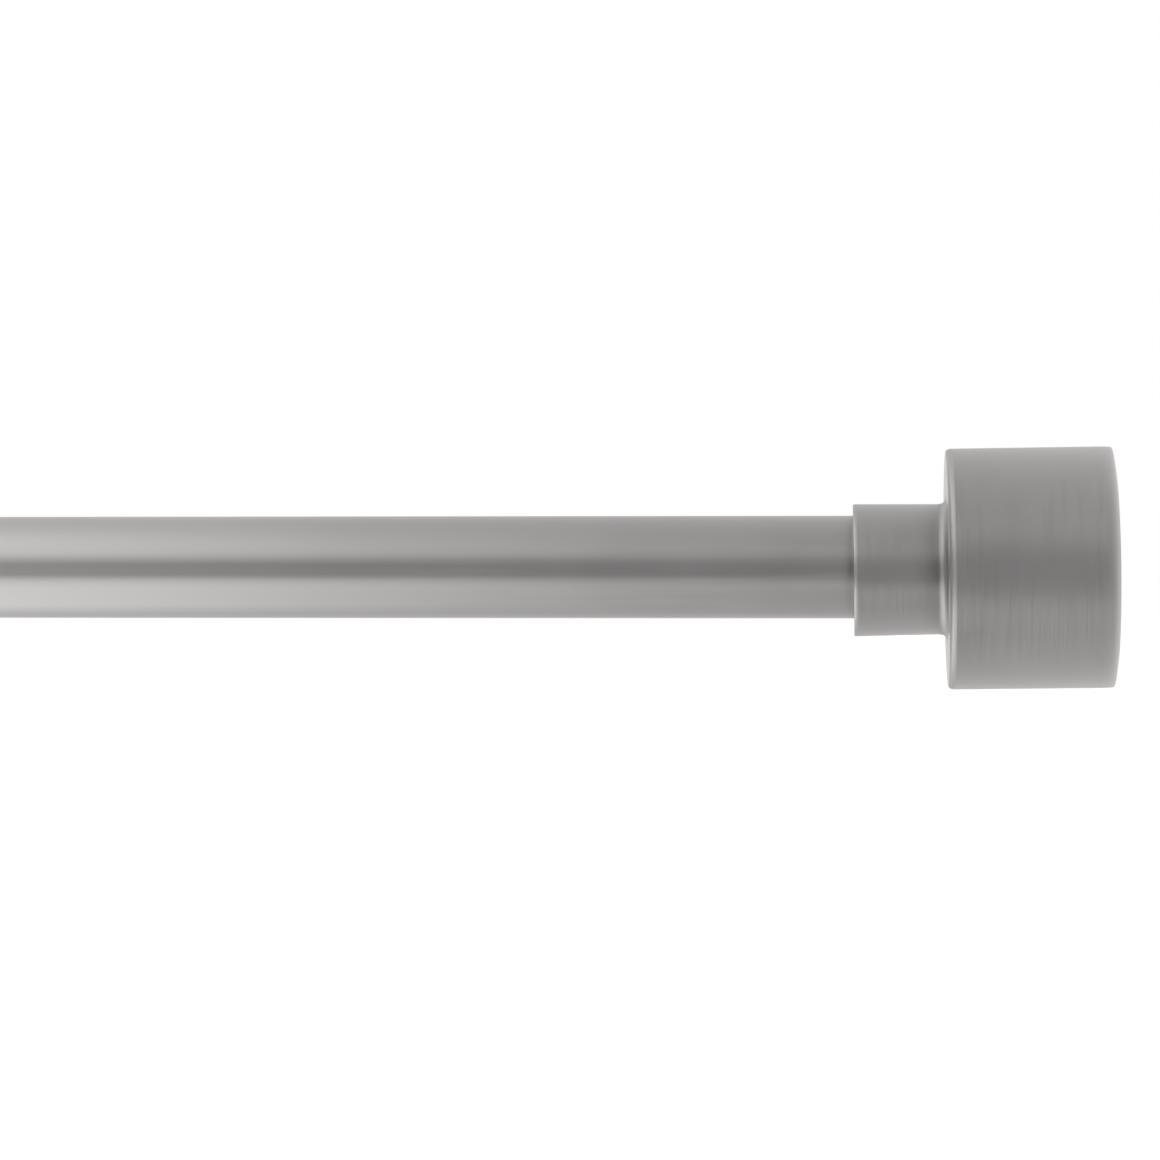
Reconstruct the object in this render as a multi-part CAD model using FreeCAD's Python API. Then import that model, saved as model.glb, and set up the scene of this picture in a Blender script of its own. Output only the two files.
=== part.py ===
# Extendable curtain rod: two telescoping tubes with a stepped cap finial on each end.
# Millimetres. X runs along the rod towards the right-hand finial and Z is up.
# The origin is on the outer tube's axis, at the place where the right-hand bracket carries it.

import FreeCAD, Part
from FreeCAD import Vector
import math
import os

# Tubes: one inch and seven eighths of an inch, drawn steel
OUTER_TUBE_D = 25.4
OUTER_TUBE_WALL = 0.8
INNER_TUBE_D = 22.2
INNER_TUBE_WALL = 0.7

# Lengths between the mouths of the two finials: 28 inches shut and 48 inches drawn out
SHUT_LENGTH = 711.2
DRAWN_LENGTH = 1219.2
REST_EXTENSION = 101.6
SHUT_GAP = 0.5
SEAT_TO_RIGHT_FINIAL = 100.0

# Finial: a collar that slips over the tube and a wide hollow head
NECK_MOUTH_D = 32.7
NECK_ROOT_D = 32.1
NECK_LENGTH = 22.9
NECK_MOUTH_BEVEL = 0.4
NECK_ROOT_FILLET = 2.2
HEAD_D = 59.4
HEAD_LENGTH = 40.6
HEAD_WALL = 2.4
HEAD_BACK_WALL = 2.6
HEAD_REAR_EDGE = 1.5
HEAD_FRONT_EDGE = 0.5
HEAD_INNER_BEVEL = 1.0

# Socket in the finial: the grub screw lifts the tube against the top of the bore's mouth
SOCKET_CLEARANCE = 0.85
SOCKET_TOP_GAP = 0.05
SOCKET_BOSS_LENGTH = 8.0
SOCKET_BOSS_WALL = 2.0
SOCKET_LEDGE_UNDER_TUBE = 0.5
SOCKET_LEDGE_THICK = 1.6
SOCKET_MOUTH_CHAMFER = 0.4
TUBE_END_GAP = 0.2

# Spigot on the ledge: it enters the outer tube and keeps the finial's deep end nearly central,
# so the screw leaves the finial tilted a little, with its head up
SPIGOT_D = 22.9
SPIGOT_LENGTH = 3.0
SPIGOT_CHAMFER = 0.4
SPIGOT_GAP = 0.03

# Pressed end cap of the head
CAP_WALL = 1.0
CAP_FLANGE_LENGTH = 6.0
CAP_SEAT_DEPTH = 0.6
CAP_FIT = 0.05
CAP_RECESS = 0.2
CAP_BEVEL = 0.5

# Drain hole that lets the plating bath out of the head
DRAIN_HOLE_D = 1.2
DRAIN_HOLE_FROM_BACK = 5.9

# Grub screws: hexagon socket, cup point
SCREW_D = 4.0
SCREW_FIT = 0.04
SCREW_FROM_MOUTH = 11.5
SCREW_RIGHT_LENGTH = 4.0
SCREW_LEFT_LENGTH = 5.0
SCREW_KEY_SIZE = 2.0
SCREW_KEY_DEPTH = 1.8
SCREW_CUP_D = 2.2
SCREW_CUP_DEPTH = 0.5
SCREW_TIP_GAP = 0.08
SCREW_CHAMFER = 0.35

# Reducer sleeve on the inner tube, inside the left-hand finial
REDUCER_FIT = 0.05
REDUCER_SLOT = 5.0
REDUCER_CHAMFER = 0.3

# Ferrule in the open end of the outer tube
FERRULE_INSERT_LENGTH = 15.0
FERRULE_FLANGE_LENGTH = 2.0
FERRULE_FLANGE_RISE = 0.6
FERRULE_FLANGE_BEVEL = 0.4
FERRULE_PRESS_GAP = 0.05
FERRULE_RUN_GAP = 0.2
FERRULE_LEAD = 0.3

# Split guide ring in a rolled groove near the hidden end of the inner tube
RING_WIDTH = 8.0
RING_RUN_GAP = 0.15
RING_GROOVE_GAP = 0.3
RING_SLIT = 2.0
RING_CHAMFER = 0.25
GROOVE_DEPTH = 0.6
GROOVE_RAMP = 1.0
GROOVE_TO_TUBE_END = 8.0

# Dimple that stops the guide ring when the rod is fully drawn out
DIMPLE_FROM_MOUTH = 110.0
DIMPLE_DEPTH = 0.45
DIMPLE_BALL_R = 3.0
DIMPLE_STOP_GAP = 0.3

# Sizes worked out from the values above
outer_r = OUTER_TUBE_D / 2
outer_bore_r = outer_r - OUTER_TUBE_WALL
inner_r = INNER_TUBE_D / 2
inner_bore_r = inner_r - INNER_TUBE_WALL
socket_r = outer_r + SOCKET_CLEARANCE
finial_drop = SOCKET_CLEARANCE - SOCKET_TOP_GAP
socket_depth = NECK_LENGTH + HEAD_BACK_WALL + SOCKET_BOSS_LENGTH
head_r = HEAD_D / 2
head_bore_r = head_r - HEAD_WALL
ledge_r = inner_bore_r - SOCKET_LEDGE_UNDER_TUBE
ring_r = outer_bore_r - RING_RUN_GAP
travel = DRAWN_LENGTH - SHUT_LENGTH

# Tilt of the right-hand finial: its mouth drops until the bore meets the tube, and the spigot drops less
spigot_r = SPIGOT_D / 2
spigot_x = socket_depth - SPIGOT_LENGTH
spigot_drop = outer_bore_r - spigot_r - SPIGOT_GAP
finial_tilt = math.atan((finial_drop - spigot_drop) / (spigot_x + SPIGOT_CHAMFER))

# The dimple's bulge inside the tube, and how far along the tube it stands in the ring's way
bulge_r = DIMPLE_BALL_R + OUTER_TUBE_WALL
bulge_catch = ring_r - (outer_bore_r - DIMPLE_DEPTH)
bulge_half_length = math.sqrt(bulge_r ** 2 - (bulge_r - bulge_catch) ** 2)

# Places along X at rest
right_mouth_x = SEAT_TO_RIGHT_FINIAL
left_mouth_x = right_mouth_x - SHUT_LENGTH - REST_EXTENSION
outer_left_x = right_mouth_x - SHUT_LENGTH + SHUT_GAP + FERRULE_FLANGE_LENGTH
outer_right_x = right_mouth_x + socket_depth - TUBE_END_GAP
inner_left_x = left_mouth_x - spigot_x
dimple_x = outer_left_x + DIMPLE_FROM_MOUTH
ring_stopped_x = dimple_x + bulge_half_length + DIMPLE_STOP_GAP
ring_x = ring_stopped_x + travel - REST_EXTENSION
groove_from_x = ring_x - RING_GROOVE_GAP
groove_to_x = ring_x + RING_WIDTH + RING_GROOVE_GAP
inner_right_x = groove_to_x + GROOVE_RAMP + GROOVE_TO_TUBE_END


def turned(points):
    """Solid of revolution about the X axis from a closed outline of (x, radius) points."""
    corners = [Vector(x, 0, radius) for x, radius in points]
    outline = Part.makePolygon(corners + corners[:1])
    return Part.Face(outline).revolve(Vector(0, 0, 0), Vector(1, 0, 0), 360)


def rod(radius, from_x, to_x):
    """Plain cylinder along X."""
    return Part.makeCylinder(radius, to_x - from_x, Vector(from_x, 0, 0), Vector(1, 0, 0))


def pipe(outside_r, inside_r, from_x, to_x):
    """Plain hollow cylinder along X."""
    return rod(outside_r, from_x, to_x).cut(rod(inside_r, from_x, to_x))


def rims(shape, x, radius):
    """Round edges of the shape that lie at this place along X and have this radius."""
    found = []
    for edge in shape.Edges:
        if not isinstance(edge.Curve, Part.Circle):
            continue
        at_x = abs(edge.Curve.Center.x - x) < 0.01
        if at_x and abs(edge.Curve.Radius - radius) < 0.01:
            found.append(edge)
    return found


def rounded(shape, size, *places):
    """The shape with each rim, given as (x, radius), rounded to this size."""
    return shape.makeFillet(size, [edge for x, radius in places for edge in rims(shape, x, radius)])


def bevelled(shape, size, *places):
    """The shape with each rim, given as (x, radius), chamfered by this size."""
    return shape.makeChamfer(size, [edge for x, radius in places for edge in rims(shape, x, radius)])


def make_stop_dimple(tube):
    """The tube with a ball-shaped dimple pressed into its underside."""
    ball_centre = Vector(dimple_x, 0, -(outer_r - DIMPLE_DEPTH + DIMPLE_BALL_R))
    inside = rod(outer_r, dimple_x - bulge_r, dimple_x + bulge_r)
    bulge = Part.makeSphere(bulge_r, ball_centre).common(inside)
    ball = Part.makeSphere(DIMPLE_BALL_R, ball_centre)
    return tube.fuse(bulge).cut(ball).removeSplitter()


def make_outer_tube():
    return make_stop_dimple(pipe(outer_r, outer_bore_r, outer_left_x, outer_right_x))


def make_inner_tube():
    """Tube with a groove rolled into it, so that its bore narrows there by the same depth."""
    groove = [
        (groove_from_x - GROOVE_RAMP, 0),
        (groove_from_x, GROOVE_DEPTH),
        (groove_to_x, GROOVE_DEPTH),
        (groove_to_x + GROOVE_RAMP, 0),
    ]
    outside = [(x, inner_r - depth) for x, depth in groove]
    bore = [(x, inner_bore_r - depth) for x, depth in reversed(groove)]
    left_end = [(inner_left_x, inner_bore_r), (inner_left_x, inner_r)]
    right_end = [(inner_right_x, inner_r), (inner_right_x, inner_bore_r)]
    return turned(left_end + outside + right_end + bore)


def make_mouth_ferrule():
    """Flanged bush, chamfered inside at both ends so that the inner tube doesn't catch."""
    flange_x = outer_left_x - FERRULE_FLANGE_LENGTH
    insert_end_x = outer_left_x + FERRULE_INSERT_LENGTH
    bore_r = inner_r + FERRULE_RUN_GAP
    insert_r = outer_bore_r - FERRULE_PRESS_GAP
    flange_r = outer_r + FERRULE_FLANGE_RISE
    body = turned([
        (flange_x, bore_r),
        (flange_x, flange_r),
        (outer_left_x, flange_r),
        (outer_left_x, insert_r),
        (insert_end_x, insert_r),
        (insert_end_x, bore_r),
    ])
    body = bevelled(body, FERRULE_FLANGE_BEVEL, (flange_x, flange_r), (outer_left_x, flange_r))
    return bevelled(body, FERRULE_LEAD, (flange_x, bore_r), (insert_end_x, bore_r))


def make_guide_ring():
    """Ring with a slit along its top, so that it springs over the tube into its groove."""
    bore_r = inner_r - GROOVE_DEPTH + RING_GROOVE_GAP
    ring = pipe(ring_r, bore_r, ring_x, ring_x + RING_WIDTH)
    ring = bevelled(ring, RING_CHAMFER, (ring_x, ring_r), (ring_x + RING_WIDTH, ring_r))
    slit = Part.makeBox(RING_WIDTH, RING_SLIT, outer_r, Vector(ring_x, -RING_SLIT / 2, 0))
    return ring.cut(slit)


def make_finial_body():
    """Collar, back wall, skirt and inner socket boss, cast as one. The collar's mouth is at x = 0."""
    back_x = NECK_LENGTH
    inside_x = back_x + HEAD_BACK_WALL
    front_x = back_x + HEAD_LENGTH
    boss_end_x = socket_depth + SOCKET_LEDGE_THICK
    boss_r = socket_r + SOCKET_BOSS_WALL
    seat_x = front_x - CAP_RECESS - CAP_FLANGE_LENGTH
    seat_r = head_bore_r + CAP_SEAT_DEPTH
    body = turned([
        (0, socket_r),
        (0, NECK_MOUTH_D / 2),
        (back_x, NECK_ROOT_D / 2),
        (back_x, head_r),
        (front_x, head_r),
        (front_x, seat_r),
        (seat_x, seat_r),
        (seat_x, head_bore_r),
        (inside_x, head_bore_r),
        (inside_x, boss_r),
        (boss_end_x, boss_r),
        (boss_end_x, ledge_r),
        (spigot_x, ledge_r),
        (spigot_x, spigot_r),
        (socket_depth, spigot_r),
        (socket_depth, socket_r),
    ])
    body = rounded(body, NECK_ROOT_FILLET, (back_x, NECK_ROOT_D / 2))
    body = rounded(body, HEAD_REAR_EDGE, (back_x, head_r))
    body = rounded(body, HEAD_FRONT_EDGE, (front_x, head_r))
    body = bevelled(body, HEAD_INNER_BEVEL, (inside_x, head_bore_r), (inside_x, boss_r))
    body = bevelled(body, NECK_MOUTH_BEVEL, (0, NECK_MOUTH_D / 2))
    body = bevelled(body, SOCKET_MOUTH_CHAMFER, (0, socket_r))
    body = bevelled(body, SPIGOT_CHAMFER, (spigot_x, spigot_r))
    screw_hole = downward_drill(SCREW_D / 2 + SCREW_FIT, SCREW_FROM_MOUTH, 0)
    drain_hole = downward_drill(DRAIN_HOLE_D / 2, back_x + DRAIN_HOLE_FROM_BACK, boss_r)
    return body.cut(screw_hole).cut(drain_hole)


def downward_drill(radius, x, from_r):
    """Drill that starts at this distance under the axis and leaves through the underside."""
    return Part.makeCylinder(radius, HEAD_D, Vector(x, 0, -from_r), Vector(0, 0, -1))


def make_finial_end_cap():
    """Shallow pressed cup whose flange is held in the seat inside the head's rim."""
    front_x = NECK_LENGTH + HEAD_LENGTH - CAP_RECESS
    back_x = front_x - CAP_FLANGE_LENGTH + CAP_FIT
    cap_r = head_bore_r + CAP_SEAT_DEPTH - CAP_FIT
    cap = turned([
        (back_x, cap_r - CAP_WALL),
        (back_x, cap_r),
        (front_x, cap_r),
        (front_x, 0),
        (front_x - CAP_WALL, 0),
        (front_x - CAP_WALL, cap_r - CAP_WALL),
    ])
    return bevelled(cap, CAP_BEVEL, (front_x, cap_r))


def make_grub_screw(length, tip_z):
    """Set screw in the finial's own place, its cup point up at this height and its socket below."""
    screw = Part.makeCylinder(SCREW_D / 2, length, Vector(0, 0, tip_z - length))
    screw = screw.makeChamfer(SCREW_CHAMFER, [edge for edge in screw.Edges if edge.Closed])
    cup = Part.makeCone(0, SCREW_CUP_D / 2, SCREW_CUP_DEPTH, Vector(0, 0, tip_z - SCREW_CUP_DEPTH))
    corner_r = SCREW_KEY_SIZE / math.sqrt(3)
    corners = []
    for index in range(7):
        turn = math.radians(60 * index)
        corners.append(Vector(corner_r * math.cos(turn), corner_r * math.sin(turn), tip_z - length))
    key_hole = Part.Face(Part.makePolygon(corners)).extrude(Vector(0, 0, SCREW_KEY_DEPTH))
    screw = screw.cut(cup).cut(key_hole)
    screw.translate(Vector(SCREW_FROM_MOUTH, 0, 0))
    return screw


def make_reducer_sleeve():
    """Sleeve with a slot along its underside, where the grub screw reaches the inner tube."""
    sleeve_r = outer_r
    bore_r = inner_r + REDUCER_FIT
    sleeve = pipe(sleeve_r, bore_r, 0, spigot_x)
    sleeve = bevelled(sleeve, REDUCER_CHAMFER, (0, sleeve_r), (spigot_x, sleeve_r))
    slot_corner = Vector(0, -REDUCER_SLOT / 2, -OUTER_TUBE_D)
    slot = Part.makeBox(spigot_x, REDUCER_SLOT, OUTER_TUBE_D, slot_corner)
    return sleeve.cut(slot)


def placed_right(shape):
    """A finial piece put on the right-hand end of the rod, tilted about its mouth with the head up."""
    piece = shape.copy()
    piece.rotate(Vector(0, 0, 0), Vector(0, 1, 0), -math.degrees(finial_tilt))
    piece.translate(Vector(right_mouth_x, 0, -finial_drop))
    return piece


def placed_left(shape, drop):
    """A piece turned end for end and put on the left-hand end of the rod, where nothing tilts it."""
    piece = shape.copy()
    piece.rotate(Vector(0, 0, 0), Vector(0, 0, 1), 180)
    piece.translate(Vector(left_mouth_x, 0, -drop))
    return piece


def make_pieces():
    """Every piece of the rod by its name."""
    finial_body = make_finial_body()
    end_cap = make_finial_end_cap()
    tip_z = finial_drop - SCREW_TIP_GAP
    tilt_lift = SCREW_FROM_MOUTH * math.tan(finial_tilt)
    right_screw = make_grub_screw(SCREW_RIGHT_LENGTH, tip_z - outer_r - tilt_lift)
    left_screw = make_grub_screw(SCREW_LEFT_LENGTH, tip_z - inner_r)
    return {
        "outer_tube": make_outer_tube(),
        "mouth_ferrule": make_mouth_ferrule(),
        "right_finial_body": placed_right(finial_body),
        "right_finial_end_cap": placed_right(end_cap),
        "right_grub_screw": placed_right(right_screw),
        "guide_ring": make_guide_ring(),
        "inner_tube": make_inner_tube(),
        "left_reducer_sleeve": placed_left(make_reducer_sleeve(), 0),
        "left_finial_body": placed_left(finial_body, finial_drop),
        "left_finial_end_cap": placed_left(end_cap, finial_drop),
        "left_grub_screw": placed_left(left_screw, finial_drop),
    }


def main():
    os.makedirs("parts", exist_ok=True)
    for name, shape in make_pieces().items():
        shape.exportStep("parts/" + name + ".step")
        print(name, shape.ShapeType, len(shape.Solids), shape.isValid(), round(shape.Volume, 1))


main()
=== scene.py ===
# Scene for the extendable curtain rod with cap finials.
# Metres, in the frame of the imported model: X runs along the rod and the camera stands on the -Y side.

import math
import bmesh
import bpy
from mathutils import Matrix, Vector


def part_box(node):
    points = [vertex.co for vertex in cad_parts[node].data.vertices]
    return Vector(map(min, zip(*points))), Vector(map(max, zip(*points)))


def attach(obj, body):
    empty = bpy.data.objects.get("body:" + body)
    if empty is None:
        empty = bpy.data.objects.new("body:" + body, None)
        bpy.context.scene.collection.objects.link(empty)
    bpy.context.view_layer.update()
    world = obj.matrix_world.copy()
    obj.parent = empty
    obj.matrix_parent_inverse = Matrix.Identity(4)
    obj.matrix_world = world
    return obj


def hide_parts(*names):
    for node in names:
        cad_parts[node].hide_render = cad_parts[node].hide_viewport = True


# Camera: a long lens, turned slightly towards the rod's free length
CAMERA_PLACE = (0.1005, -0.8823, -0.0032)
CAMERA_TURN = math.radians(4.43)
CAMERA_LENS = 110.4
SENSOR_WIDTH = 36.0

# Studio round the rod. Angles are in degrees. They run from the camera side, over the top or under the
# rod, to the back, and each edge of the light is (from, to, light added between them). The sum is kept
# between dark and a limit at which the metal stays darker than the white behind it from every side.
LIGHT_LIMIT = 1.35
BACKDROP = -0.15
UPPER_BACKDROP = [(17, 164, 0.76)]
LOWER_BACKDROP = [(25, 175, 0.81)]

# Soft box on the left, given in the same way, and the angles towards that end at which it opens and closes
FRONT_WINDOW = 1.0
UPPER_WINDOW = [(-2, 44, 1.88), (-37, 154, -2.78)]
LOWER_WINDOW = [(15, 48, 3.0), (-8, 158, -3.94)]
WINDOW_SIDES = [(-2, -17, 1.0), (-20, -58, -1.0)]

# Soft box on the right, as bright above the rod as below it
BOX_SIDES = [(2, 40, 3.07), (28, 42, -2.7)]

# Light that falls on the two ends of the rod
END_LIGHT = 0.62
END_EDGE = (65, 85)

# White background behind the rod as the metal mirrors it: angles off the line of sight, outer and inner
WHITE_EDGE = (14, 7)

# Floor, in metres, and the glow that brings it up to white for the camera
FLOOR_HEIGHT = -0.35
FLOOR_SIZE = 60.0
FLOOR_GLOW = 0.3
FLOOR_GREY = 0.8
FLOOR_ROUGHNESS = 0.9

# Overhead light for the floor and the plastic pieces
PANEL_STRENGTH = 0.5
PANEL_ANGLE = math.radians(60)

MM = 0.001

# The tubes and the finials in millimetres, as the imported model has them
OUTER_R = 12.7
OUTER_BORE_R = 11.9
OUTER_FROM, OUTER_TO = -608.7, 133.3
INNER_R = 11.1
INNER_BORE_R = 10.4
DIMPLE_X = -498.7
DIMPLE_R = 3.0
DIMPLE_DEPTH = 0.45
GROOVE_DEPTH = 0.6
GROOVE_RAMP = 1.0
GROOVE_WIDTH = 8.6
GROOVE_TO_END = 9.0
RIGHT_MOUTH_X = 100.0
LEFT_MOUTH_X = -712.8
FINIAL_DROP = 0.8
FINIAL_TILT = math.radians(0.705)
NECK_MOUTH_R = 16.35
NECK_ROOT_R = 16.05
NECK_LENGTH = 22.9
HEAD_R = 29.7
HEAD_LENGTH = 40.6
HEAD_BORE_R = 27.3
HEAD_BACK_WALL = 2.6
SEAT_R = 27.9
SEAT_LENGTH = 6.2
SOCKET_R = 13.55
SOCKET_DEPTH = 33.5
BOSS_R = 15.55
BOSS_END_X = 35.1
LEDGE_R = 9.9
SPIGOT_R = 11.45
SPIGOT_X = 30.5
INSIDE_X = NECK_LENGTH + HEAD_BACK_WALL
SCREW_HOLE_R = 2.04
SCREW_HOLE_X = 11.5
DRAIN_HOLE_R = 0.6
DRAIN_HOLE_FROM_BACK = 5.9
DRAIN_HOLE_X = NECK_LENGTH + DRAIN_HOLE_FROM_BACK

# How finely the shells are drawn: sides, the overrun of a drill and the distance of a guard row in
# millimetres, and the angle from which an edge is sharp
TUBE_SIDES = 144
FINIAL_SIDES = 192
DRILL_SIDES = 48
DIMPLE_SIDES = (64, 48)
DRILL_OVERRUN = 5.0
GUARD = 0.2
SHARP_ANGLE = math.radians(28)

# The head narrows slightly just before its front edge
FRONT_EASE_LENGTH = 1.5
FRONT_EASE_DEPTH = 0.18

# Roundings: reach before the corner and after it in millimetres, steps, and how far brushing dulls it
BEVEL = (0.4, 0.4, 1, 0.0)
INNER_BEVEL = (1.0, 1.0, 1, 0.0)
MOUTH_ROUND = (0.25, 1.1, 8, 0.5)
ROOT_FILLET = (2.2, 2.2, 12, 1.0)
REAR_ROUND = (1.1, 1.7, 12, 1.0)
FRONT_EASE = (2.5, 1.0, 8, 0.0)
FRONT_BREAK = (0.25, 0.25, 1, 0.0)

# Colours, linear
WHITE = (1.0, 1.0, 1.0, 1.0)
NICKEL = (0.615, 0.598, 0.592)
SCREW_STEEL = (0.36, 0.36, 0.37)
GREY_PLASTIC = (0.23, 0.235, 0.24)
WHITE_PLASTIC = (0.78, 0.78, 0.75)

# Roughness of each finish, and what is added on rounded edges, where brushing blurs the sheen
NICKEL_ROUGHNESS = 0.30
STEEL_ROUGHNESS = 0.34
GREY_ROUGHNESS = 0.48
WHITE_ROUGHNESS = 0.38
EDGE_DULLING = 0.15

# Grain of each finish: cells to the metre along X, Y and Z, and its depth in metres
TUBE_GRAIN = (25, 3200, 3200)
FINIAL_GRAIN = (3200, 60, 60)
STEEL_GRAIN = (900, 900, 4000)
PLASTIC_GRAIN = (2200, 2200, 2200)
NICKEL_GRAIN_DEPTH = 0.000002
STEEL_GRAIN_DEPTH = 0.000006
PLASTIC_GRAIN_DEPTH = 0.00003

# Slow clouds in a finish: cells to the metre, the share by which they vary the colour, and how far the
# roughness varies either way with the grain and with the clouds
METAL_CLOUDS = (45, 45, 45)
PLASTIC_CLOUDS = (70, 70, 70)
METAL_COLOUR_SPREAD = 0.012
PLASTIC_COLOUR_SPREAD = 0.03
METAL_GRAIN_SHEEN = 0.015
METAL_CLOUD_SHEEN = 0.008
PLASTIC_GRAIN_SHEEN = 0.06

# Most of the noise lies between these two values
NOISE_LOW = 0.25
NOISE_HIGH = 0.75


def link(tree, value, socket):
    """A number goes on the socket itself and a socket is joined to it."""
    if isinstance(value, bpy.types.NodeSocket):
        tree.links.new(value, socket)
    else:
        socket.default_value = value


def calculated(tree, operation, first, second=0.0):
    node = tree.nodes.new("ShaderNodeMath")
    node.operation = operation
    link(tree, first, node.inputs[0])
    link(tree, second, node.inputs[1])
    return node.outputs[0]


def soft_step(tree, value, start, end, height=1.0):
    """Nothing before the start, the full height after the end, and a soft slope between."""
    node = tree.nodes.new("ShaderNodeMapRange")
    node.interpolation_type = "SMOOTHSTEP"
    link(tree, value, node.inputs["Value"])
    node.inputs["From Min"].default_value = math.radians(start)
    node.inputs["From Max"].default_value = math.radians(end)
    node.inputs["To Max"].default_value = height
    return node.outputs["Result"]


def summed_steps(tree, angle, base, edges):
    total = base
    for start, end, height in edges:
        total = calculated(tree, "ADD", total, soft_step(tree, angle, start, end, height))
    return total


def kept_between(tree, value, low, high):
    node = tree.nodes.new("ShaderNodeClamp")
    link(tree, value, node.inputs["Value"])
    node.inputs["Min"].default_value = low
    node.inputs["Max"].default_value = high
    return node.outputs[0]


def blended(tree, share, first, second):
    node = tree.nodes.new("ShaderNodeMix")
    node.data_type = "FLOAT"
    link(tree, share, node.inputs[0])
    link(tree, first, node.inputs[2])
    link(tree, second, node.inputs[3])
    return node.outputs[0]


def make_world():
    """White to the camera, and in the metal where it lies behind the rod.

    Elsewhere the metal sees a dim backdrop and a soft box on either side of the camera.
    """
    world = bpy.data.worlds.new("studio")
    world.use_nodes = True
    bpy.context.scene.world = world
    tree = world.node_tree
    tree.nodes.clear()
    place = tree.nodes.new("ShaderNodeTexCoord")
    parts = tree.nodes.new("ShaderNodeSeparateXYZ")
    tree.links.new(place.outputs["Generated"], parts.inputs[0])
    x, y, z = parts.outputs
    end_angle = calculated(tree, "ARCSINE", x)
    round_angle = calculated(tree, "ARCTAN2", z, calculated(tree, "MULTIPLY", y, -1.0))
    angle = calculated(tree, "ABSOLUTE", round_angle)
    upper = calculated(tree, "GREATER_THAN", round_angle, 0.0)
    backdrop = blended(
        tree, upper,
        summed_steps(tree, angle, BACKDROP, LOWER_BACKDROP),
        summed_steps(tree, angle, BACKDROP, UPPER_BACKDROP),
    )
    window = blended(
        tree, upper,
        summed_steps(tree, angle, FRONT_WINDOW, LOWER_WINDOW),
        summed_steps(tree, angle, FRONT_WINDOW, UPPER_WINDOW),
    )
    window_share = summed_steps(tree, end_angle, 0.0, WINDOW_SIDES)
    light = calculated(tree, "ADD", backdrop, calculated(tree, "MULTIPLY", window, window_share))
    light = calculated(tree, "ADD", light, summed_steps(tree, end_angle, 0.0, BOX_SIDES))
    light = kept_between(tree, light, 0.0, LIGHT_LIMIT)
    end_share = soft_step(tree, calculated(tree, "ABSOLUTE", end_angle), *END_EDGE)
    light = blended(tree, end_share, light, END_LIGHT)
    rays = tree.nodes.new("ShaderNodeLightPath")
    mirrored = calculated(tree, "ADD", rays.outputs["Is Glossy Ray"], rays.outputs["Is Transmission Ray"])
    behind = soft_step(tree, calculated(tree, "ARCCOSINE", y), *WHITE_EDGE)
    mirrored = calculated(tree, "MULTIPLY", mirrored, behind)
    white = calculated(tree, "MAXIMUM", rays.outputs["Is Camera Ray"], mirrored)
    strength = blended(tree, white, light, 1.0)
    background = tree.nodes.new("ShaderNodeBackground")
    background.inputs["Color"].default_value = WHITE
    tree.links.new(strength, background.inputs["Strength"])
    output = tree.nodes.new("ShaderNodeOutputWorld")
    tree.links.new(background.outputs[0], output.inputs[0])


def make_camera():
    data = bpy.data.cameras.new("camera")
    data.lens = CAMERA_LENS
    data.sensor_width = SENSOR_WIDTH
    camera = bpy.data.objects.new("camera", data)
    camera.location = CAMERA_PLACE
    camera.rotation_euler = (math.pi / 2, 0, CAMERA_TURN)
    bpy.context.scene.collection.objects.link(camera)
    bpy.context.scene.camera = camera


def softened(corners):
    """Points of an outline, each with its share of edge dulling.

    A corner is (x, radius), and where it is rounded the four numbers of the rounding follow.
    A rounding of more than one step has a guard row beside it, so that it doesn't shade the long faces.
    """
    points = []
    for index, corner in enumerate(corners):
        here = Vector(corner[:2])
        if len(corner) == 2:
            points.append((here, 0.0))
            continue
        reach_back, reach_on, steps, dulling = corner[2:]
        back = (Vector(corners[index - 1][:2]) - here).normalized()
        onward = (Vector(corners[(index + 1) % len(corners)][:2]) - here).normalized()
        start = here + back * reach_back
        end = here + onward * reach_on
        if steps > 1:
            points.append((start + back * GUARD, 0.0))
        for step in range(steps + 1):
            part = step / steps
            point = start * (1 - part) ** 2 + here * (2 * part * (1 - part)) + end * part ** 2
            points.append((point, dulling if 0 < step < steps else 0.0))
        if steps > 1:
            points.append((end + onward * GUARD, 0.0))
    return points


def revolved(name, corners, sides):
    """Closed mesh turned round the X axis from an outline in millimetres, with its dulled edges marked."""
    mesh_maker = bmesh.new()
    edge_mark = mesh_maker.verts.layers.float.new("edge_dulling")
    rows = []
    for point, mark in softened(corners):
        x, radius = point * MM
        row = []
        for side in range(sides):
            turn = 2 * math.pi * side / sides
            vertex = mesh_maker.verts.new((x, radius * math.sin(turn), radius * math.cos(turn)))
            vertex[edge_mark] = mark
            row.append(vertex)
        rows.append(row)
    for index, row in enumerate(rows):
        before = rows[index - 1]
        for side in range(sides):
            mesh_maker.faces.new((before[side - 1], before[side], row[side], row[side - 1]))
    bmesh.ops.recalc_face_normals(mesh_maker, faces=mesh_maker.faces)
    return added_object(name, mesh_maker)


def added_object(name, mesh_maker):
    mesh = bpy.data.meshes.new(name)
    mesh_maker.to_mesh(mesh)
    mesh_maker.free()
    piece = bpy.data.objects.new(name, mesh)
    bpy.context.scene.collection.objects.link(piece)
    return piece


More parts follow.
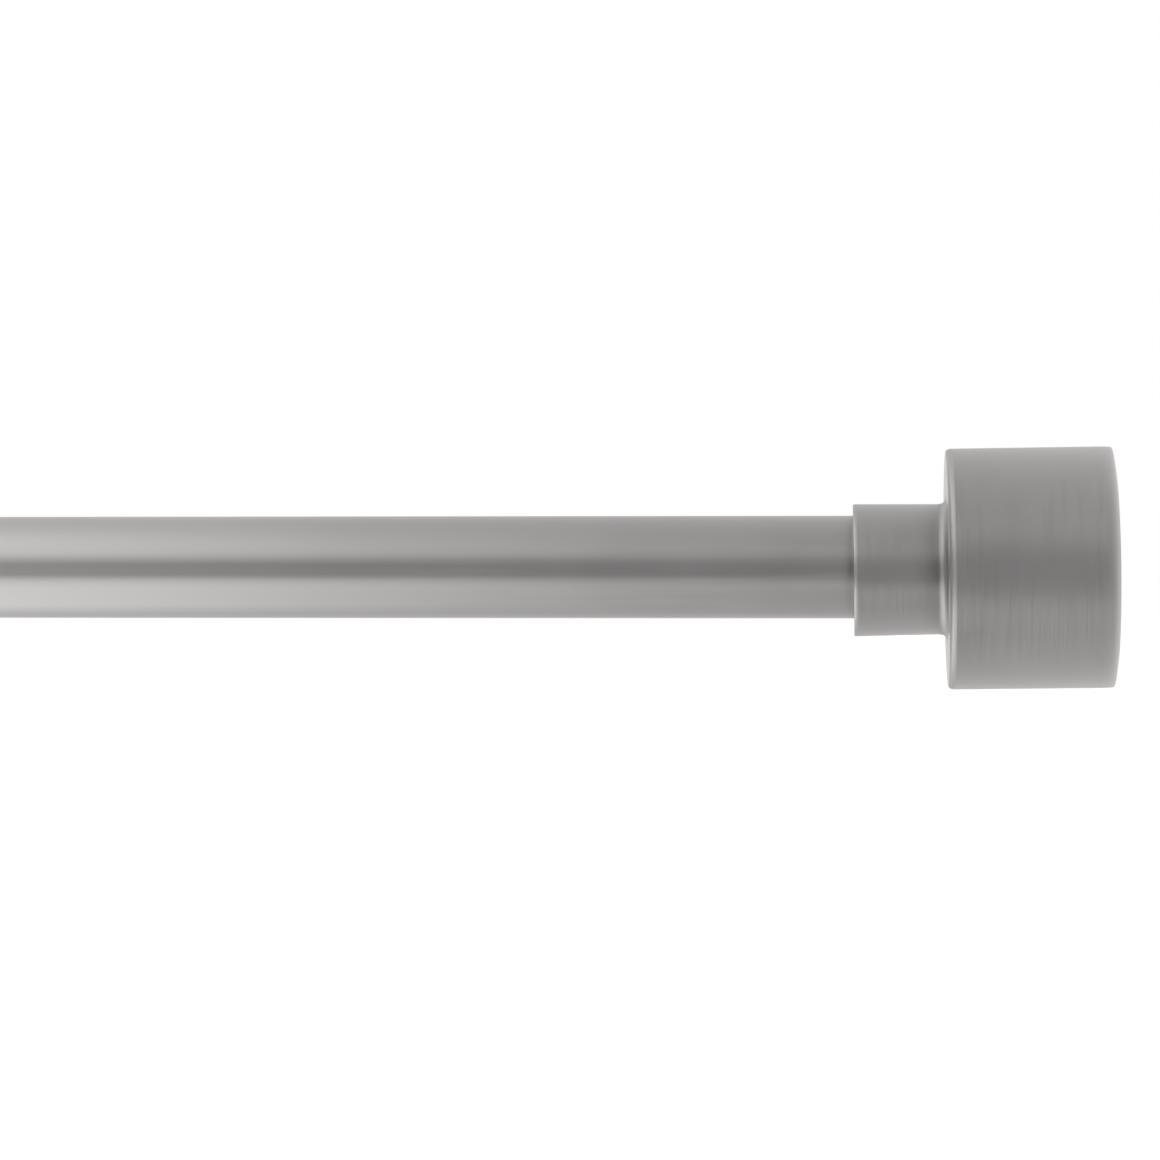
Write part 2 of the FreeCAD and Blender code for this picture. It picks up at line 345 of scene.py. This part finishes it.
def drill(radius, x, from_r):
    """Upright cylinder that leaves through the underside, to cut a hole with, given in millimetres."""
    mesh_maker = bmesh.new()
    depth = HEAD_R + DRILL_OVERRUN - from_r
    place = Matrix.Translation(Vector((x, 0, -from_r - depth / 2)) * MM)
    bmesh.ops.create_cone(
        mesh_maker, cap_ends=True, segments=DRILL_SIDES, matrix=place,
        radius1=radius * MM, radius2=radius * MM, depth=depth * MM,
    )
    return added_object("drill", mesh_maker)


def cut(piece, tool):
    """The piece with the tool's volume taken out of it."""
    modifier = piece.modifiers.new("cut", "BOOLEAN")
    modifier.object = tool
    modifier.solver = "EXACT"
    shape = piece.evaluated_get(bpy.context.evaluated_depsgraph_get())
    mesh = bpy.data.meshes.new_from_object(shape)
    piece.modifiers.clear()
    piece.data = mesh
    bpy.data.objects.remove(tool)


def finished(piece, material, node, body):
    """Smooth shading, a material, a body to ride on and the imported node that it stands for."""
    mesh = piece.data
    mesh.materials.clear()
    mesh.materials.append(material)
    mesh.shade_smooth()
    mesh.set_sharp_from_angle(angle=SHARP_ANGLE)
    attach(piece, body)
    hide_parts(node)


def make_outer_tube(material):
    """Drawn tube with the dimple in its underside that stops the guide ring."""
    tube = revolved("outer_tube_drawn", [
        (OUTER_FROM, OUTER_BORE_R), (OUTER_FROM, OUTER_R), (OUTER_TO, OUTER_R), (OUTER_TO, OUTER_BORE_R),
    ], TUBE_SIDES)
    ball_maker = bmesh.new()
    centre = Vector((DIMPLE_X, 0, -(OUTER_R - DIMPLE_DEPTH + DIMPLE_R))) * MM
    around, along = DIMPLE_SIDES
    bmesh.ops.create_uvsphere(
        ball_maker, u_segments=around, v_segments=along,
        radius=DIMPLE_R * MM, matrix=Matrix.Translation(centre),
    )
    cut(tube, added_object("ball", ball_maker))
    finished(tube, material, "outer_tube", "outer_rod")


def make_inner_tube(material):
    """Drawn tube with the rolled groove near its hidden end that carries the guide ring."""
    low, high = (corner.x * 1000 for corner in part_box("inner_tube"))
    groove_to = high - GROOVE_TO_END
    groove_from = groove_to - GROOVE_WIDTH
    groove = [
        (groove_from - GROOVE_RAMP, 0),
        (groove_from, GROOVE_DEPTH),
        (groove_to, GROOVE_DEPTH),
        (groove_to + GROOVE_RAMP, 0),
    ]
    outside = [(x, INNER_R - depth) for x, depth in groove]
    bore = [(x, INNER_BORE_R - depth) for x, depth in reversed(groove)]
    ends = [(low, INNER_BORE_R), (low, INNER_R)], [(high, INNER_R), (high, INNER_BORE_R)]
    tube = revolved("inner_tube_drawn", ends[0] + outside + ends[1] + bore, TUBE_SIDES)
    finished(tube, material, "inner_tube", "inner_rod")


def make_finial(name, material, place, node, body):
    """Collar, back wall, skirt and inner socket boss, cast as one, with the drilled holes."""
    front_x = NECK_LENGTH + HEAD_LENGTH
    seat_x = front_x - SEAT_LENGTH
    piece = revolved(name, [
        (0, SOCKET_R, *BEVEL),
        (0, NECK_MOUTH_R, *MOUTH_ROUND),
        (NECK_LENGTH, NECK_ROOT_R, *ROOT_FILLET),
        (NECK_LENGTH, HEAD_R, *REAR_ROUND),
        (front_x - FRONT_EASE_LENGTH, HEAD_R, *FRONT_EASE),
        (front_x, HEAD_R - FRONT_EASE_DEPTH, *FRONT_BREAK),
        (front_x, SEAT_R),
        (seat_x, SEAT_R),
        (seat_x, HEAD_BORE_R),
        (INSIDE_X, HEAD_BORE_R, *INNER_BEVEL),
        (INSIDE_X, BOSS_R, *INNER_BEVEL),
        (BOSS_END_X, BOSS_R),
        (BOSS_END_X, LEDGE_R),
        (SPIGOT_X, LEDGE_R),
        (SPIGOT_X, SPIGOT_R, *BEVEL),
        (SOCKET_DEPTH, SPIGOT_R),
        (SOCKET_DEPTH, SOCKET_R),
    ], FINIAL_SIDES)
    cut(piece, drill(SCREW_HOLE_R, SCREW_HOLE_X, 0))
    cut(piece, drill(DRAIN_HOLE_R, DRAIN_HOLE_X, BOSS_R))
    piece.data.transform(place)
    finished(piece, material, node, body)


def make_finials(material):
    """The same casting on both ends. Each hangs low by its clearance, and the right one tilts as well."""
    drop = Vector((0, 0, -FINIAL_DROP))
    right = Matrix.Translation((Vector((RIGHT_MOUTH_X, 0, 0)) + drop) * MM)
    right = right @ Matrix.Rotation(-FINIAL_TILT, 4, "Y")
    left = Matrix.Translation((Vector((LEFT_MOUTH_X, 0, 0)) + drop) * MM)
    left = left @ Matrix.Rotation(math.pi, 4, "Z")
    make_finial("right_finial_cast", material, right, "right_finial_body", "outer_rod")
    make_finial("left_finial_cast", material, left, "left_finial_body", "inner_rod")


def new_material(name):
    """A material, its tree and its main shader."""
    material = bpy.data.materials.new(name)
    material.use_nodes = True
    tree = material.node_tree
    return material, tree, tree.nodes["Principled BSDF"]


def stretched_noise(tree, scales, detail=2.0):
    """Noise over the object's own coordinates, with so many cells to the metre along each axis."""
    place = tree.nodes.new("ShaderNodeTexCoord")
    mapping = tree.nodes.new("ShaderNodeMapping")
    mapping.inputs["Scale"].default_value = scales
    noise = tree.nodes.new("ShaderNodeTexNoise")
    noise.inputs["Scale"].default_value = 1.0
    noise.inputs["Detail"].default_value = detail
    tree.links.new(place.outputs["Object"], mapping.inputs["Vector"])
    tree.links.new(mapping.outputs["Vector"], noise.inputs["Vector"])
    return noise.outputs["Fac"]


def ranged(tree, value, low, high):
    """The usual span of noise spread over the range from low to high."""
    node = tree.nodes.new("ShaderNodeMapRange")
    tree.links.new(value, node.inputs["Value"])
    node.inputs["From Min"].default_value = NOISE_LOW
    node.inputs["From Max"].default_value = NOISE_HIGH
    node.inputs["To Min"].default_value = low
    node.inputs["To Max"].default_value = high
    return node.outputs["Result"]


def coloured(tree, value, colour, spread):
    """The colour, a little darker and lighter with the noise."""
    mix = tree.nodes.new("ShaderNodeMix")
    mix.data_type = "RGBA"
    mix.inputs[6].default_value = [part * (1 - spread) for part in colour] + [1.0]
    mix.inputs[7].default_value = [part * (1 + spread) for part in colour] + [1.0]
    tree.links.new(ranged(tree, value, 0.0, 1.0), mix.inputs[0])
    return mix.outputs[2]


def add_bump(tree, shader, height, distance):
    bump = tree.nodes.new("ShaderNodeBump")
    bump.inputs["Distance"].default_value = distance
    tree.links.new(height, bump.inputs["Height"])
    tree.links.new(bump.outputs["Normal"], shader.inputs["Normal"])


def make_satin_metal(name, colour, roughness, grain, grain_depth):
    """Plated metal. Its grain is finer than the eye sees, clouds vary its sheen, and edges are duller."""
    material, tree, shader = new_material(name)
    shader.inputs["Metallic"].default_value = 1.0
    shader.inputs["Anisotropic"].default_value = 0.5
    shader.inputs["Anisotropic Rotation"].default_value = 0.25
    tangent = tree.nodes.new("ShaderNodeTangent")
    tangent.direction_type = "RADIAL"
    tangent.axis = "X"
    tree.links.new(tangent.outputs[0], shader.inputs["Tangent"])
    lines = stretched_noise(tree, grain)
    clouds = stretched_noise(tree, METAL_CLOUDS, detail=3.0)
    tree.links.new(coloured(tree, clouds, colour, METAL_COLOUR_SPREAD), shader.inputs["Base Color"])
    sheen = calculated(
        tree, "ADD",
        ranged(tree, lines, roughness - METAL_GRAIN_SHEEN, roughness + METAL_GRAIN_SHEEN),
        ranged(tree, clouds, -METAL_CLOUD_SHEEN, METAL_CLOUD_SHEEN),
    )
    edge_mark = tree.nodes.new("ShaderNodeAttribute")
    edge_mark.attribute_name = "edge_dulling"
    dulled = calculated(tree, "MULTIPLY", edge_mark.outputs["Fac"], EDGE_DULLING)
    sheen = calculated(tree, "ADD", sheen, dulled)
    tree.links.new(sheen, shader.inputs["Roughness"])
    add_bump(tree, shader, lines, grain_depth)
    return material


def make_moulded_plastic(name, colour, roughness):
    """Spark-finished moulded plastic with a fine even grain."""
    material, tree, shader = new_material(name)
    grain = stretched_noise(tree, PLASTIC_GRAIN, detail=3.0)
    clouds = stretched_noise(tree, PLASTIC_CLOUDS)
    tree.links.new(coloured(tree, clouds, colour, PLASTIC_COLOUR_SPREAD), shader.inputs["Base Color"])
    sheen = ranged(tree, grain, roughness - PLASTIC_GRAIN_SHEEN, roughness + PLASTIC_GRAIN_SHEEN)
    tree.links.new(sheen, shader.inputs["Roughness"])
    shader.inputs["IOR"].default_value = 1.49
    add_bump(tree, shader, grain, PLASTIC_GRAIN_DEPTH)
    return material


def make_floor():
    """Plain white floor under the rod. The metal doesn't mirror it, only the studio."""
    half = FLOOR_SIZE / 2
    mesh = bpy.data.meshes.new("floor")
    corners = [(-half, -half, 0), (half, -half, 0), (half, half, 0), (-half, half, 0)]
    mesh.from_pydata(corners, [], [(0, 1, 2, 3)])
    floor = bpy.data.objects.new("floor", mesh)
    floor.location.z = FLOOR_HEIGHT
    bpy.context.scene.collection.objects.link(floor)
    floor.visible_glossy = False
    material, tree, shader = new_material("floor_white")
    shader.inputs["Base Color"].default_value = (FLOOR_GREY, FLOOR_GREY, FLOOR_GREY, 1.0)
    shader.inputs["Roughness"].default_value = FLOOR_ROUGHNESS
    shader.inputs["Emission Color"].default_value = WHITE
    rays = tree.nodes.new("ShaderNodeLightPath")
    glow = calculated(tree, "MULTIPLY", rays.outputs["Is Camera Ray"], FLOOR_GLOW)
    tree.links.new(glow, shader.inputs["Emission Strength"])
    mesh.materials.append(material)


def make_panel():
    """Soft light from overhead, which the metal doesn't mirror."""
    data = bpy.data.lights.new("panel", "SUN")
    data.energy = PANEL_STRENGTH
    data.angle = PANEL_ANGLE
    panel = bpy.data.objects.new("panel", data)
    panel.visible_glossy = False
    bpy.context.scene.collection.objects.link(panel)


def dress(nodes):
    """Every piece gets its finish, and smooth turned shells stand for the tubes and the finials."""
    tube = make_satin_metal(
        "satin_nickel_tube", NICKEL, NICKEL_ROUGHNESS, TUBE_GRAIN, NICKEL_GRAIN_DEPTH,
    )
    finial = make_satin_metal(
        "satin_nickel_finial", NICKEL, NICKEL_ROUGHNESS, FINIAL_GRAIN, NICKEL_GRAIN_DEPTH,
    )
    steel = make_satin_metal("screw_steel", SCREW_STEEL, STEEL_ROUGHNESS, STEEL_GRAIN, STEEL_GRAIN_DEPTH)
    grey = make_moulded_plastic("grey_plastic", GREY_PLASTIC, GREY_ROUGHNESS)
    white = make_moulded_plastic("white_plastic", WHITE_PLASTIC, WHITE_ROUGHNESS)
    finishes = {
        "outer_tube": tube,
        "inner_tube": tube,
        "right_finial_body": finial,
        "left_finial_body": finial,
        "right_finial_end_cap": finial,
        "left_finial_end_cap": finial,
        "right_grub_screw": steel,
        "left_grub_screw": steel,
        "mouth_ferrule": grey,
        "left_reducer_sleeve": grey,
        "guide_ring": white,
    }
    for name, material in finishes.items():
        slots = nodes[name].data.materials
        for index in range(len(slots)):
            slots[index] = material
    make_outer_tube(tube)
    make_inner_tube(tube)
    make_finials(finial)


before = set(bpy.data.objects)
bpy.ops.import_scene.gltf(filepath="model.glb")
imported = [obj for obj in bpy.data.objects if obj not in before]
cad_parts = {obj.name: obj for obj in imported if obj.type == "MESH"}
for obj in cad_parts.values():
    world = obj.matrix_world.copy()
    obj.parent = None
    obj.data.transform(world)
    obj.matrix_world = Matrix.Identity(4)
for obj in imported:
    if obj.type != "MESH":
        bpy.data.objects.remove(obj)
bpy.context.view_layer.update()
make_camera()
make_world()
make_floor()
make_panel()
dress(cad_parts)
bpy.context.scene.view_settings.view_transform = "Standard"
